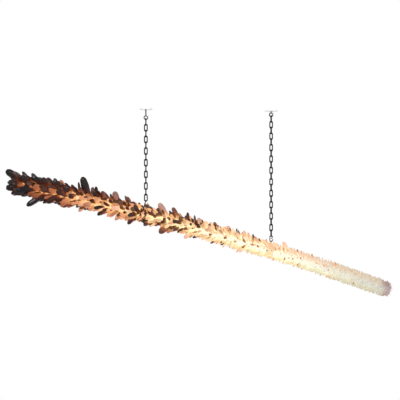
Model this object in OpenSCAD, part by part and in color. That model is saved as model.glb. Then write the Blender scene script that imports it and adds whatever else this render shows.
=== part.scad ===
// Slanted linear chandelier: a gently bowed, lit stem covered with crystal points,
// hung from two chains of different length.
// Millimetres. Origin: on the ceiling, midway between the two ceiling plates.
// +X runs towards the low end of the stem, -Y is the front, +Z is up.

/* [Ceiling] */
// Distance between the two chains
chain_spacing = 630; // [560:5:720]
// Diameter of each ceiling plate
plate_d = 64; // [58:1:90]
// Thickness of each ceiling plate
plate_h = 5; // [4:0.5:8]
// Diameter of the screw holes in the ceiling plates
plate_hole_d = 5.5; // [4:0.5:7]
// Distance between the two screw holes of a plate
plate_hole_pitch = 44; // [38:1:48]
// Wire thickness of the ceiling hooks
ceiling_wire = 5; // [4:0.5:6]
// Radius of the ceiling hooks' rings, to the middle of the wire
ceiling_ring_r = 9; // [8.5:0.5:12]
// Depth of the left ring's centre under the ceiling
left_ring_drop = 44.5; // [30:0.5:80]
// Depth of the right ring's centre under the ceiling
right_ring_drop = 22; // [21:0.5:80]

/* [Chains] */
// Length of a link over its ends
link_length = 40.6; // [36:0.2:46]
// Width of a link over its sides
link_width = 19.2; // [18.6:0.2:23]
// Wire thickness of a link
link_wire = 5.8; // [4.6:0.1:6]
// Links in the left chain, with its top and bottom links
left_links = 14; // [8:2:20]
// Links in the right chain, with its top link
right_links = 21; // [15:2:27]
// Play where one piece of wire hangs in another
wire_play = 0.25; // [0.15:0.05:0.35]

/* [Hook and eyes] */
// Wire thickness of the lower hook and the eyes
eye_wire = 4; // [3:0.5:4]
// Radius of an eye's ring, to the middle of the wire
eye_r = 7; // [7:0.5:9]
// Distance from the middle of the hook's top ring to the middle of its bend
hook_reach = 16; // [16:0.5:24]
// Radius of the hook's flared tip, to the middle of the wire
hook_tip = 5; // [3:0.5:8]
// Thickness of the eyes' shanks
shank_d = 6; // [5:0.5:7]
// Height of the left eye over the middle of the stem
left_eye_height = 62; // [52:1:80]
// Height of the right eye over the middle of the stem
right_eye_height = 40; // [39:1:60]

/* [Stem] */
// Length of the diffuser, from end cap to end cap
stem_length = 1900; // [1700:10:2100]
// How much further the stem reaches past the right chain than past the left one, halved
stem_shift = 26; // [0:1:60]
// Radius of the stem's gentle bow
bow_r = 14000; // [9000:500:30000]
// Outer diameter of the diffuser
tube_d = 44; // [40:1:52]
// Wall of the diffuser
tube_wall = 2.5; // [2:0.25:4]
// Gap between two lengths of diffuser, inside a collar
tube_gap = 8; // [7:0.5:12]
// Width of the core bar over its flats
core_flats = 18; // [14:0.5:20]
// Width of an LED strip
strip_w = 8; // [6:0.5:9]
// Thickness of an LED strip
strip_h = 1.2; // [0.8:0.1:1.6]
// Thickness of the discs that centre the core bar
disc_h = 3; // [2:0.5:6]
// Thickness of an end cap's flange
cap_h = 5; // [4.5:0.5:8]
// Length of an end cap's spigot inside the diffuser
cap_spigot = 12; // [8:1:20]

/* [Collars] */
// Width of a collar along the stem
collar_w = 26; // [22:1:34]
// Wall of a collar
collar_wall = 3.5; // [3:0.25:5]
// How far the collars' ears stand out
ear_reach = 10; // [9:0.5:14]
// Thickness of an ear
ear_h = 4; // [3:0.5:6]
// Split between the two halves of a collar
collar_split = 0.6; // [0.4:0.1:1.5]
// Diameter of the collar screws
screw_d = 4; // [3:0.5:4]

/* [Crystals] */
// Length of the small points at the left end
left_point_length = 60; // [46:1:90]
// Length of the small points in the middle
middle_point_length = 42; // [34:1:70]
// Length of the small points at the right end
right_point_length = 20; // [15:1:36]
// Width of the small points at the left end
left_point_width = 29; // [22:1:34]
// Width of the small points in the middle
middle_point_width = 23; // [16:1:27]
// Width of the small points at the right end
right_point_width = 11; // [8:0.5:16]
// Rise of the small points from the stem at the left end, in degrees
left_point_rise = 31; // [24:1:50]
// Rise of the small points from the stem at the right end, in degrees
right_point_rise = 74; // [55:1:85]
// Least gap between two crystals
crystal_gap = 0.6; // [0.4:0.1:3]
// Gap between a crystal's foot and what it is seated on
seat_gap = 0.3; // [0.2:0.05:0.6]
// Choice of the crystals' random sizes
seed = 11; // [1:1:99]

/* [Hidden] */

$fn = 48;
// Facets of a full turn of the bow, so that its short arc stays smooth
bow_fn = 1440;

// Small clearances
slip = 0.15;
shank_slip = 0.1;
glue = 0.05;

steel = "#2b2826";
bare_metal = "#b9bcc0";
opal = "#fff3dc";
smoky = "#3a2a24";
rose = "#c79a90";
clear = "#efe6dc";
plastic_white = "#f2f0ec";

// ---------- How the chandelier hangs ----------

link_pitch = link_length - 2 * link_wire - wire_play;
half_link = (link_length - link_wire) / 2;
left_x = -chain_spacing / 2;
right_x = chain_spacing / 2;

// Middle of the ceiling rings' wire, where the top links swing
function ring_foot(drop) = -drop - ceiling_ring_r;
function first_link(drop) = ring_foot(drop) + (ceiling_wire + link_wire) / 2 + wire_play - half_link;
left_first = first_link(left_ring_drop);
right_first = first_link(right_ring_drop);
left_last = left_first - (left_links - 1) * link_pitch;
right_last = right_first - (right_links - 1) * link_pitch;

// The right hook: its top ring hangs on the last link
hook_ring_z = right_last - half_link - (eye_r - eye_wire / 2 - link_wire / 2 - wire_play);
hook_bend_z = hook_ring_z - hook_reach;

// The wires that the eyes hang on, and the top of each eye's wire above them
left_rest = [left_x, 0, left_last - half_link];
right_rest = [right_x, 0, hook_bend_z - eye_r];
left_eye_top = left_rest + [0, 0, (link_wire + eye_wire) / 2 + wire_play];
right_eye_top = right_rest + [0, 0, eye_wire + wire_play];

// The stem's slant and place follow from where the two eyes hang
left_reach = left_eye_height + eye_r;
right_reach = right_eye_height + eye_r;
hang = right_eye_top - left_eye_top;
hang_span = norm(hang);
reach_sum = 2 * bow_r + left_reach + right_reach;
reach_step = right_reach - left_reach;
half_angle = asin(sqrt((hang_span * hang_span - reach_step * reach_step)
                       / (reach_sum * reach_sum - reach_step * reach_step)));
slant = atan2(-hang.z, hang.x) + atan2(reach_step * cos(half_angle), reach_sum * sin(half_angle));
collar_s = bow_r * half_angle * PI / 180;
left_end = stem_shift - stem_length / 2;
right_end = stem_shift + stem_length / 2;
left_eye_in_stem = bow_point(-collar_s) + left_reach * bow_normal(-collar_s);
stem_place = left_eye_top - turned(left_eye_in_stem);

// Points, tangents and normals of the bow, in the stem's own frame
function bow_angle(s) = s / bow_r * 180 / PI;
function bow_point(s) = [bow_r * sin(bow_angle(s)), 0, bow_r * (cos(bow_angle(s)) - 1)];
function bow_tangent(s) = [cos(bow_angle(s)), 0, -sin(bow_angle(s))];
function bow_normal(s) = [sin(bow_angle(s)), 0, cos(bow_angle(s))];
function turned(p) = [p.x * cos(slant) + p.z * sin(slant), p.y, p.z * cos(slant) - p.x * sin(slant)];

module stem_frame() {
    translate(stem_place) rotate([0, slant, 0]) children();
}

// Children stand at s along the stem, turned a degrees round it, with +Z outward
module at_stem(s, a = 0) {
    stem_frame() translate(bow_point(s)) rotate([0, bow_angle(s), 0]) rotate([a, 0, 0]) children();
}

// A profile swept along the bow from s1 to s2; its +X points up, its +Y to the front
module along_stem(s1, s2) {
    stem_frame()
        translate([0, 0, -bow_r]) rotate([90, 0, 0]) rotate([0, 0, 90 - bow_angle(s2)])
            rotate_extrude(angle = bow_angle(s2) - bow_angle(s1), $fn = bow_fn)
                translate([bow_r, 0]) children();
}

// ---------- Ceiling and chains ----------

module ceiling_plate(x) {
    color(plastic_white)
        translate([x, 0, -plate_h]) difference() {
            cylinder(h = plate_h, d = plate_d);
            translate([0, 0, -1]) cylinder(h = plate_h + 2, d = shank_d + 2 * shank_slip);
            for (side = [-1, 1])
                translate([0, side * plate_hole_pitch / 2, -1]) cylinder(h = plate_h + 2, d = plate_hole_d);
        }
}

// A ring of wire in the XZ plane
module wire_ring(mean_r, wire) {
    rotate([90, 0, 0]) rotate_extrude() translate([mean_r, 0]) circle(d = wire);
}

module ceiling_hook(x, drop) {
    shank_foot = -drop + ceiling_ring_r - ceiling_wire / 4;
    color(steel) {
        translate([x, 0, -drop]) wire_ring(ceiling_ring_r, ceiling_wire);
        translate([x, 0, shank_foot]) cylinder(h = -shank_foot - 1, d = shank_d);
    }
}

// One oval link, upright, in the XZ plane
module link() {
    bend_r = (link_width - link_wire) / 2;
    leg = link_length - link_width;
    rotate([90, 0, 0]) {
        for (end = [0, 1]) rotate([0, 0, end * 180]) translate([0, leg / 2, 0])
            rotate_extrude(angle = 180) translate([bend_r, 0]) circle(d = link_wire);
        for (side = [-1, 1]) translate([side * bend_r, leg / 2, 0])
            rotate([90, 0, 0]) cylinder(h = leg, d = link_wire);
    }
}

// Link number i of a chain, counted from the top; odd ones stand edge-on to the front
module chain_link(x, first_z, i) {
    translate([x, 0, first_z - (i - 1) * link_pitch]) rotate([0, 0, 90 * (i % 2)]) link();
}

module chain_run(x, first_z, last) {
    color(steel) for (i = [2 : last]) chain_link(x, first_z, i);
}

// The open hook: one bent wire, with a nearly closed loop at its top and a flared tip
module lower_hook_right() {
    loop_sweep = 285;
    tip_flare = 75;
    color(steel) translate([right_x, 0, 0]) rotate([90, 0, 0]) {
        translate([0, hook_ring_z]) mirror([1, 0, 0])
            rotate_extrude(angle = loop_sweep) translate([eye_r, 0]) circle(d = eye_wire);
        translate([-eye_r, hook_ring_z]) rotate([90, 0, 0]) cylinder(h = hook_reach, d = eye_wire);
        translate([0, hook_bend_z]) rotate([0, 0, 180])
            rotate_extrude(angle = 180) translate([eye_r, 0]) circle(d = eye_wire);
        translate([eye_r + hook_tip, hook_bend_z]) mirror([1, 0, 0])
            rotate_extrude(angle = tip_flare) translate([hook_tip, 0]) circle(d = eye_wire);
    }
}

// An eye bolt, screwed into the top of a collar
module eye_bolt(s, height) {
    foot = tube_d / 2 + slip + 0.4;
    color(steel) at_stem(s) {
        translate([0, 0, height]) rotate([0, 0, 90]) wire_ring(eye_r, eye_wire);
        translate([0, 0, foot]) cylinder(h = height - eye_r - foot + eye_wire / 4, d = shank_d);
    }
}

// ---------- Stem ----------

module diffuser(s1, s2) {
    color(opal, 0.9) along_stem(s1, s2) difference() {
        circle(d = tube_d);
        circle(d = tube_d - 2 * tube_wall);
    }
}

// The hexagonal bar runs from cap to cap; its bore takes the end caps' screws
core_setback = 4;
module core_bar() {
    core_r = core_flats / 2 / cos(30);
    color(bare_metal) along_stem(left_end + core_setback, right_end - core_setback) difference() {
        circle(r = core_r, $fn = 6);
        circle(d = screw_d + 2 * shank_slip);
    }
}

// The three strips lie on every second flat of the core bar
module led_strips() {
    setback = core_setback + cap_spigot;
    color("#fff7b0") for (turn = [30, 150, 270])
        along_stem(left_end + setback, right_end - setback) rotate(turn)
            translate([core_flats / 2 + glue, -strip_w / 2]) square([strip_h, strip_w]);
}

// Discs between the core bar and the diffuser, near the ends of each length
disc_bore_r = 2 * slip + max(norm([core_flats / 2 + glue + strip_h, strip_w / 2]), core_flats / 2 / cos(30));
disc_rest = 60;
module spacer_discs() {
    tube_bore = tube_d - 2 * tube_wall;
    color(plastic_white)
        for (s = [left_end + disc_rest, -collar_s - disc_rest, -collar_s + disc_rest, 0,
                  collar_s - disc_rest, collar_s + disc_rest, right_end - disc_rest])
            at_stem(s) rotate([0, 90, 0]) translate([0, 0, -disc_h / 2]) difference() {
                cylinder(h = disc_h, d = tube_bore - 2 * slip);
                translate([0, 0, -1]) cylinder(h = disc_h + 2, r = disc_bore_r);
            }
}

// Children stand on the end of the diffuser: side -1 is the left end, with +Z outward
module at_end(side) {
    at_stem(side < 0 ? left_end : right_end) rotate([0, side * 90, 0]) children();
}

// A cap: flange outside, spigot inside the diffuser, a pocket for the core bar and a sunk screw
cap_head_h = 2.2;
cap_head_d = 1.8 * screw_d;
cap_face = slip + cap_h;
cap_sink = cap_head_h + 0.3;
module end_cap(side) {
    tube_bore = tube_d - 2 * tube_wall;
    pocket_r = core_flats / 2 / cos(30) + slip;
    color(steel) at_end(side) difference() {
        union() {
            translate([0, 0, slip]) cylinder(h = cap_h, d = tube_d);
            translate([0, 0, -cap_spigot]) cylinder(h = cap_spigot + cap_h / 2, d = tube_bore - 2 * slip);
        }
        translate([0, 0, -cap_spigot - 1]) cylinder(h = cap_spigot + 1 - core_setback / 2, r = pocket_r);
        translate([0, 0, -cap_spigot]) cylinder(h = cap_spigot + 2 * cap_h, d = screw_d + 2 * slip);
        translate([0, 0, cap_face - cap_sink]) cylinder(h = cap_sink + 1, d = cap_head_d + 4 * slip);
    }
}

// The middle screw of each cap runs into the core bar's bore
module end_cap_screws() {
    seat = cap_face - cap_sink + glue;
    color(bare_metal) for (side = [-1, 1]) at_end(side) {
        translate([0, 0, seat]) cylinder(h = cap_head_h, d = cap_head_d);
        translate([0, 0, -cap_spigot - 4]) cylinder(h = cap_spigot + 4 + seat + cap_head_h / 2, d = screw_d);
    }
}

// ---------- Collars ----------

collar_r = tube_d / 2 + slip + collar_wall;
ear_y = collar_r + ear_reach / 2;

// Half a collar; side 1 is the upper half
module collar_half(s, side) {
    outer = collar_r + ear_reach;
    color(steel) at_stem(s, side > 0 ? 0 : 180) difference() {
        union() {
            rotate([0, 90, 0]) translate([0, 0, -collar_w / 2]) cylinder(h = collar_w, r = collar_r);
            translate([-collar_w / 2, -outer, 0]) cube([collar_w, 2 * outer, ear_h]);
        }
        rotate([0, 90, 0]) translate([0, 0, -collar_w]) cylinder(h = 2 * collar_w, r = tube_d / 2 + slip);
        translate([-collar_w, -2 * outer, collar_split / 2 - 4 * collar_r])
            cube([2 * collar_w, 4 * outer, 4 * collar_r]);
        for (ear = [-1, 1]) translate([0, ear * ear_y, -1]) cylinder(h = ear_h + 2, d = screw_d + 0.4);
        if (side > 0) cylinder(h = 2 * collar_r, d = shank_d + 2 * shank_slip);
        if (side > 0 && s < 0) gland_place() cylinder(h = 2 * collar_r, d = gland_d + 2 * shank_slip);
    }
}

module collar_screws() {
    color(bare_metal) for (s = [-collar_s, collar_s], ear = [-1, 1])
        at_stem(s) translate([0, ear * ear_y, 0]) {
            translate([0, 0, ear_h + glue]) cylinder(h = 0.6 * screw_d, d = 1.75 * screw_d);
            translate([0, 0, -ear_h - nut_h - 1]) cylinder(h = 2 * ear_h + nut_h + 1.2, d = screw_d);
        }
}

nut_h = 3.2;
module collar_nuts() {
    color(bare_metal) for (s = [-collar_s, collar_s], ear = [-1, 1])
        at_stem(s) translate([0, ear * ear_y, -ear_h - nut_h - glue]) difference() {
            cylinder(h = nut_h, d = 1.9 * screw_d, $fn = 6);
            translate([0, 0, -1]) cylinder(h = nut_h + 2, d = screw_d + 0.1);
        }
}

// The cable gland sits in the left collar, behind the eye bolt
gland_d = 6;
gland_turn = -48;
module gland_place() {
    rotate([gland_turn, 0, 0]) children();
}

module cable_gland() {
    foot = tube_d / 2 + slip + 0.4;
    lead_d = 3;
    color(plastic_white) at_stem(-collar_s) gland_place() difference() {
        union() {
            translate([0, 0, foot]) cylinder(h = collar_r - foot + 1, d = gland_d);
            translate([0, 0, collar_r + 0.2]) cylinder(h = 3.5, d = 10, $fn = 6);
            translate([0, 0, collar_r + 3.6]) cylinder(h = 5, d = 8);
        }
        translate([0, 0, foot - 1]) cylinder(h = 2 * collar_r, d = lead_d + 0.4);
    }
}

// The lead runs from the gland through the gap between two diffusers to the strip
module feed_lead() {
    lead_d = 3;
    start = disc_bore_r + 0.4 + lead_d / 2;
    color("#d8d4cc") at_stem(-collar_s) gland_place()
        translate([0, 0, start]) cylinder(h = collar_r + 8 - start, d = lead_d);
}

// ---------- Crystals ----------

// A repeatable random number from 0 to 1
function noise(i, k) =
    let (v = sin(i * 127.1 + k * 311.7 + seed * 74.7) * 43758.5453)
    v - floor(v);
function between(low, high, f) = low + (high - low) * f;
function unit(v) = v / norm(v);

// Seats: [place, toward the right end, round the stem, outward]
function stem_seat(s, a) = let (n = bow_normal(s), y = [0, -1, 0], out = n * cos(a) + y * sin(a))
    [bow_point(s) + out * (tube_d / 2 + seat_gap), bow_tangent(s), y * cos(a) - n * sin(a), out];

// A seat on an end cap's face: side -1 is the left end; its third axis runs round the face
function cap_seat(side, r, a) = let (
        s = side < 0 ? left_end : right_end, n = bow_normal(s), y = [0, -1, 0],
        edge = n * cos(a) + y * sin(a), out = side * bow_tangent(s))
    [bow_point(s) + out * (cap_face + seat_gap) + edge * r, -edge, y * cos(a) - n * sin(a), out];

// Outlines from the foot to the tip: [share of the length, share of the width]
SPEAR = [[0, 1], [0.5, 0.86], [1, 0]];
PADDLE = [[0, 0.74], [0.55, 1], [0.84, 0.88], [0.96, 0.56], [1, 0.24]];
KNOB = [[0, 0.8], [0.5, 1], [0.8, 0.84], [0.95, 0.48], [1, 0.2]];
BLUNT = [[0, 0.85], [0.55, 1], [0.88, 0.78], [1, 0.3]];
function point_outline(shoulder, taper) = [[0, 1], [shoulder, taper], [1, 0]];

// A crystal: [seat, rise, side lean, length, width, thickness, sides, outline, tip shift, turn]
function crystal_axes(c) = let (seat = c[0], rise = c[1])
    [seat[3] * sin(rise) - seat[1] * cos(rise) + seat[2] * tan(c[2]),
     seat[1] * sin(rise) + seat[3] * cos(rise), seat[2]];

function crystal_points(c) = let (
        seat = c[0], rise = c[1], ax = crystal_axes(c), length = c[3] * cos(c[2]),
        k = c[6], outline = c[7], last = len(outline) - 1,
        first_run = outline[1][0] * length,
        apex_at = first_run / (1 - outline[1][1] / outline[0][1]),
        apex_out = apex_at * sin(rise),
        offset = [for (j = [0 : k - 1]) let (
                turn = 360 * (j + 0.5) / k + c[9],
                x = cos(turn) * c[4] / 2, y = sin(turn) * c[5] / 2)
            ax[2] * x + ax[1] * y],
        foot = [for (o = offset) let (
                q = o * outline[0][1],
                m = apex_out / (apex_out - q * seat[3]))
            seat[0] + ax[0] * apex_at + (q - ax[0] * apex_at) * m],
        rings = [for (i = [1 : last]) if (outline[i][1] > 0) for (o = offset)
            seat[0] + ax[0] * (outline[i][0] * length) + o * outline[i][1]],
        tip = outline[last][1] > 0 ? [] :
            [seat[0] + ax[0] * length + ax[2] * (c[8][0] * c[4]) + ax[1] * (c[8][1] * c[5])])
    concat(foot, rings, tip);

function crystal_faces(c) = let (
        k = c[6], outline = c[7], pointed = outline[len(outline) - 1][1] == 0,
        ring_count = len(outline) - (pointed ? 1 : 0), top = (ring_count - 1) * k)
    concat(
        [[for (j = [0 : k - 1]) j]],
        [for (i = [0 : ring_count - 2], j = [0 : k - 1]) let (n = (j + 1) % k)
            [i * k + j, (i + 1) * k + j, (i + 1) * k + n, i * k + n]],
        pointed ? [for (j = [0 : k - 1]) [top + j, top + k, top + (j + 1) % k]]
                : [[for (j = [k - 1 : -1 : 0]) top + j]]);

// What the packing test needs of a solid: points, middle, reach, test directions
function solid_of(pts, dirs) = let (
        middle = [for (i = [0 : 2]) (min([for (p = pts) p[i]]) + max([for (p = pts) p[i]])) / 2])
    [pts, middle, max([for (p = pts) norm(p - middle)]), dirs];
function crystal_solid(c) = let (ax = crystal_axes(c))
    solid_of(crystal_points(c), [ax[1], ax[2], unit(ax[0]), c[0][3]]);

// The gap that direction d shows between two sets of points
function gap_along(d, a, b) = max(min(b * d) - max(a * d), min(a * d) - max(b * d));
function apart(a, b) =
    let (step = b[1] - a[1], far = norm(step))
    far > a[2] + b[2] + crystal_gap ? true :
    let (across = cross(a[3][2], b[3][2]),
         dirs = concat(a[3], b[3], [step / far], norm(across) > 0.05 ? [unit(across)] : []))
    max([for (d = dirs) gap_along(d, a[0], b[0])]) >= crystal_gap;
function all_apart(a, others) = len([for (b = others) if (!apart(a, b)) 1]) == 0;

// Room over an eye that its link or its hook needs when the stem moves
link_room = 60;
hook_room = 70;

// Boxes that the crystals keep clear of, in the stem's frame; a turns a box round the stem
function stem_box(s, half_s, half_y, low, high, a = 0) =
    let (n = bow_normal(s), y = [0, -1, 0], out = n * cos(a) + y * sin(a), beside = y * cos(a) - n * sin(a))
    solid_of(
        [for (i = [-1, 1], j = [-1, 1], h = [low, high])
            bow_point(s) + bow_tangent(s) * (i * half_s) + out * h + beside * (j * half_y)],
        [bow_tangent(s), out, bow_tangent(s), beside]);
function collar_ring(s) = solid_of(
    [for (i = [-1, 1], j = [0 : 15]) let (turn = (j + 0.5) * 22.5, r = (collar_r + 0.2) / cos(11.25))
        bow_point(s) + bow_tangent(s) * (i * collar_w / 2)
            + bow_normal(s) * (r * cos(turn)) + [0, r * sin(turn), 0]],
    [for (turn = [0 : 22.5 : 157.5]) bow_normal(s) * cos(turn) + [0, sin(turn), 0]]);
ear_half = collar_r + ear_reach + 0.5;
keep_clear = [
    collar_ring(-collar_s), collar_ring(collar_s),
    stem_box(-collar_s, collar_w / 2, ear_half, -ear_h - nut_h - 1.5, ear_h + screw_d),
    stem_box(collar_s, collar_w / 2, ear_half, -ear_h - nut_h - 1.5, ear_h + screw_d),
    // The left eye bolt, and the room that its link needs when the stem rolls
    stem_box(-collar_s, 6, 8, collar_r, left_eye_height),
    stem_box(-collar_s, 16, 26, left_eye_height - 12, left_eye_height + link_room),
    // The right eye bolt and its hook
    stem_box(collar_s, 15, 18, collar_r, right_eye_height + hook_room),
    // The cable gland, behind the left eye bolt
    stem_box(-collar_s, 6, 6, collar_r, collar_r + 10, gland_turn)
];

// Large crystals, placed one by one:
// [zone, share of the zone's length, turn round the stem, rise, side lean, length, width, thickness,
//  outline, rose]
LARGE = [
    [0, 0.11, 98, 24, 14, 96, 38, 28, PADDLE, 0],
    [0, 0.20, 30, 23, 0, 92, 30, 33, PADDLE, 0],
    [0, 0.19, 152, 46, 10, 102, 30, 31, PADDLE, 0],
    [0, 0.17, 288, 27, 0, 92, 34, 30, BLUNT, 0],
    [0, 0.29, 352, 52, 0, 56, 20, 25, BLUNT, 0],
    [0, 0.35, 8, 47, 0, 58, 20, 24, BLUNT, 1],
    [0, 0.42, 168, 44, 0, 58, 27, 27, KNOB, 0],
    [0, 0.40, 72, 26, -12, 66, 22, 17, SPEAR, 1],
    [0, 0.53, 2, 60, 0, 94, 28, 42, BLUNT, 0],
    [0, 0.55, 262, 38, 0, 74, 30, 26, BLUNT, 0],
    [0, 0.68, 18, 54, 0, 48, 24, 28, BLUNT, 0],
    [0, 0.71, 176, 46, 6, 48, 24, 24, KNOB, 0],
    [0, 0.78, 8, 60, 0, 58, 26, 35, BLUNT, 1],
    [0, 0.82, 88, 30, 14, 56, 26, 22, PADDLE, 1],
    [0, 0.83, 172, 62, 0, 42, 24, 24, KNOB, 1],
    [0, 0.89, 350, 52, 0, 50, 24, 29, BLUNT, 0],
    [0, 0.94, 166, 66, 0, 52, 26, 26, KNOB, 0],
    [1, 0.18, 6, 42, 0, 72, 25, 32, PADDLE, 1],
    [1, 0.21, 172, 56, 0, 60, 30, 38, KNOB, 0],
    [1, 0.27, 14, 48, 0, 64, 22, 27, BLUNT, 0],
    [1, 0.39, 168, 60, 0, 50, 25, 25, KNOB, 1],
    [1, 0.45, 20, 52, 0, 42, 20, 22, BLUNT, 1],
    [1, 0.58, 10, 48, 0, 44, 20, 21, KNOB, 0],
    [1, 0.69, 350, 48, 0, 44, 20, 24, BLUNT, 1],
    [1, 0.59, 176, 54, 0, 38, 16, 15, BLUNT, 0],
    [1, 0.81, 172, 66, 0, 36, 16, 18, KNOB, 1],
    [1, 0.88, 84, 34, 10, 34, 16, 15, SPEAR, 0],
    [2, 0.15, 8, 44, 0, 54, 20, 25, BLUNT, 1]
];
zone_starts = [left_end, -collar_s, collar_s, right_end];
function in_zone(number, share) = between(zone_starts[number], zone_starts[number + 1], share);
function large_crystal(h, size) =
    [stem_seat(in_zone(h[0], h[1]), h[2]), h[3], h[4], h[5] * size, h[6] * size, h[7] * size,
     8, h[8], [0.06, -0.08], 0];

// Each large crystal takes the largest of the sizes that is clear of those before it
sizes = [1, 0.72, 0.52, 0.38];
function fitted(h, others, n = 0) =
    n == len(sizes) ? [] :
    let (c = large_crystal(h, sizes[n]), solid = crystal_solid(c))
    all_apart(solid, others) ? [[c, solid, h[9]]] : fitted(h, others, n + 1);
function placed(at = 0, kept = []) =
    at == len(LARGE) ? kept :
    let (others = concat(keep_clear, left_tip_solids, [for (k = kept) k[1]]))
    placed(at + 1, concat(kept, fitted(LARGE[at], others)));

// Large crystals on the left end cap:
// [off the middle, turn round the face, rise, length, width, thickness, outline]
LEFT_TIP = [
    [21.5, 4, 70, 92, 33, 41, PADDLE],
    [16.5, 178, 85, 70, 30, 31, KNOB]
];
left_tip = [for (t = LEFT_TIP) [cap_seat(-1, t[0], t[1]), t[2], 0, t[3], t[4], t[5], 8, t[6], [0, 0], 0]];
left_tip_solids = [for (c = left_tip) crystal_solid(c)];

large = placed();
large_solids = [for (k = large) k[1]];

// Small points at the right end: rings of them on the end cap, leaning out more with each ring
right_tip_rings = [[6.5, 5, 80, 25], [12.5, 9, 62, 26], [18.2, 14, 46, 24]];
module right_tip_points() {
    color(rose) stem_frame() for (r = right_tip_rings, j = [0 : r[1] - 1])
        crystal([cap_seat(1, r[0], 360 * (j + 0.3 * noise(j, r[1])) / r[1]), r[2] + 4 * noise(j, 5), 0,
                 r[3] * between(0.7, 1.1, noise(j, 6)), 5.4, 4.6, 5, point_outline(0.6, 0.8), [0, 0], 0]);
}

module crystal(c) {
    polyhedron(points = crystal_points(c), faces = crystal_faces(c));
}

// How the small points change along the stem
end_s = stem_length / 2;
function along(s, left, middle, right) = lookup(s, [[-end_s, left], [0, middle], [0.72 * end_s, right]]);
function point_length(s) = along(s, left_point_length, middle_point_length, right_point_length);
function point_width(s) = along(s, left_point_width, middle_point_width, right_point_width);
function point_rise(s) =
    along(s, left_point_rise, between(left_point_rise, right_point_rise, 0.3), right_point_rise);
function smoky_share(s) = lookup(s, [[-end_s, 0.8], [-0.3 * end_s, 0.55], [0.2 * end_s, 0.34],
                                     [0.5 * end_s, 0.08], [end_s, 0.03]]);
function rose_share(s) = lookup(s, [[-end_s, 0.15], [0, 0.34], [0.45 * end_s, 0.4], [end_s, 0.16]]);
function kind(i, s) = let (f = noise(i, 9))
    f < smoky_share(s) ? 0 : f < smoky_share(s) + rose_share(s) ? 1 : 2;

golden_angle = 137.508;
// The small point that is tried at number i; size shrinks it on a second try
function small_point(i, s, size) = let (
        w = point_width(s) * between(0.7, 1, noise(i, 1)) * between(1, size, 0.8),
        t = w * between(0.75, 1, noise(i, 2)),
        fine = s > 0.38 * end_s,
        blunt = !fine && size == 1 && noise(i, 3) < 0.3)
    [stem_seat(s, i * golden_angle + 24 * (noise(i, 4) - 0.5)),
     point_rise(s) + 9 * (noise(i, 5) - 0.5), 16 * (noise(i, 6) - 0.5),
     point_length(s) * between(0.62, 1.08, noise(i, 7)) * size, w, t,
     fine ? 4 : size < 0.6 ? 5 : 6,
     blunt ? BLUNT : point_outline(between(0.62, 0.84, noise(i, 8)), between(0.8, 0.97, noise(i, 10))),
     [0.3 * (noise(i, 11) - 0.5), 0.3 * (noise(i, 12) - 0.5)], 0];

// Steps along the stem that give each point its share of the tube's surface
function crowding(s) = along(s, 0.17, 0.26, 1.35);
function step(s) = crowding(s) * point_width(s) * (0.82 * point_width(s) + crystal_gap) / sin(point_rise(s))
    / (PI * (tube_d + 2 * seat_gap));
function tries(s1, s2) = [for (s = s1, i = 0; s < s2; s = s + step(s), i = i + 1) [i + round(s1), s]];

// Keeps each point that is clear of those kept before it, or of which a smaller one is
window = 34;
function near_large(solid) =
    [for (b = concat(large_solids, keep_clear, left_tip_solids))
        if (norm(b[1] - solid[1]) < b[2] + solid[2] + crystal_gap) b];
function first_clear(i, s, recent, n = 0) =
    n == len(sizes) ? [] :
    let (c = small_point(i, s, sizes[n]), solid = crystal_solid(c))
    all_apart(solid, near_large(solid)) && all_apart(solid, recent) ? [[c, solid, kind(i, s)]]
    : first_clear(i, s, recent, n + 1);
function grown(list, at = 0, kept = []) =
    at == len(list) ? kept :
    let (from = max(0, len(kept) - window),
         recent = len(kept) == 0 ? [] : [for (j = [from : len(kept) - 1]) kept[j][1]])
    grown(list, at + 1, concat(kept, first_clear(list[at][0], list[at][1], recent)));

left_margin = 8;
right_margin = 6;
collar_margin = collar_w / 2;
function zone(number) =
    number == 0 ? grown(tries(left_end + left_margin, -collar_s - collar_margin)) :
    number == 1 ? grown(tries(collar_margin - collar_s, collar_s - collar_margin)) :
    grown(tries(collar_s + collar_margin, right_end - right_margin));

module small_points(number, which, shade) {
    color(shade) stem_frame() for (k = zone(number)) if (k[2] == which) crystal(k[0]);
}

module large_points(rose_ones, shade) {
    color(shade) stem_frame() for (k = large) if (k[2] == rose_ones) crystal(k[0]);
}

module left_tip_points() {
    color(smoky) stem_frame() for (c = left_tip) crystal(c);
}

ceiling_plate(left_x);  // ceiling_plate_left
ceiling_plate(right_x);  // ceiling_plate_right
ceiling_hook(left_x, left_ring_drop);  // ceiling_hook_left
ceiling_hook(right_x, right_ring_drop);  // ceiling_hook_right
color(steel) chain_link(left_x, left_first, 1);  // top_link_left
color(steel) chain_link(right_x, right_first, 1);  // top_link_right
chain_run(left_x, left_first, left_links - 1);  // chain_left
chain_run(right_x, right_first, right_links);  // chain_right
color(steel) chain_link(left_x, left_first, left_links);  // bottom_link_left
lower_hook_right();
eye_bolt(-collar_s, left_eye_height);  // eye_bolt_left
eye_bolt(collar_s, right_eye_height);  // eye_bolt_right
collar_half(-collar_s, 1);  // collar_upper_left
collar_half(-collar_s, -1);  // collar_lower_left
collar_half(collar_s, 1);  // collar_upper_right
collar_half(collar_s, -1);  // collar_lower_right
collar_screws();
collar_nuts();
core_bar();
led_strips();
spacer_discs();
diffuser(left_end, -collar_s - tube_gap / 2);  // diffuser_left
diffuser(-collar_s + tube_gap / 2, collar_s - tube_gap / 2);  // diffuser_middle
diffuser(collar_s + tube_gap / 2, right_end);  // diffuser_right
end_cap(-1);  // end_cap_left
end_cap(1);  // end_cap_right
end_cap_screws();
cable_gland();
feed_lead();
large_points(0, smoky);  // large_smoky_points
large_points(1, rose);  // large_rose_points
small_points(0, 0, smoky);  // smoky_points_left
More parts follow.
